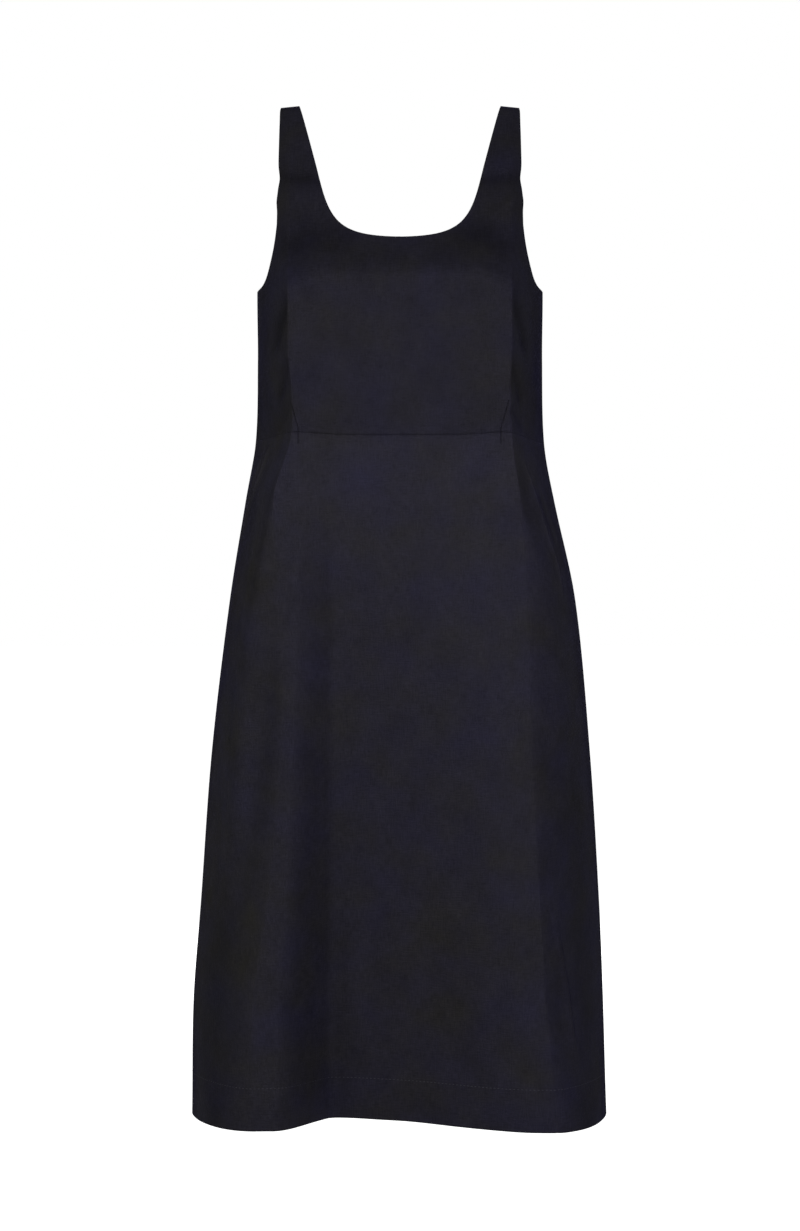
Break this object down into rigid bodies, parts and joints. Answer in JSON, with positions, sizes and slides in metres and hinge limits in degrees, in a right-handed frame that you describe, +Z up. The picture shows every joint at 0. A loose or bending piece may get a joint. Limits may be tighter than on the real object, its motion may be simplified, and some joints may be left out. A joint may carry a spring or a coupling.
{
  "type": "sheath dress",
  "caption": "Sleeveless midi sheath dress in dark navy suiting, hollow and filled out, with a scoop neck, a waist seam, front darts and a gently flared skirt.",
  "frame": {"origin": "midway between the tops of the two shoulder straps, at the height of the shoulder seams", "axes": "+Z up, +Y from the front of the dress to its back, +X to the wearer's left"},
  "size_m": [0.4891, 0.2431, 1.186],
  "materials": {
    "cloth": "fine woven suiting, slight sheen"
  },
  "bodies": {
    "root": {"bodice_front": "cloth", "bodice_back": "cloth", "skirt_front": "cloth", "skirt_back": "cloth"}
  },
  "joints": []
}
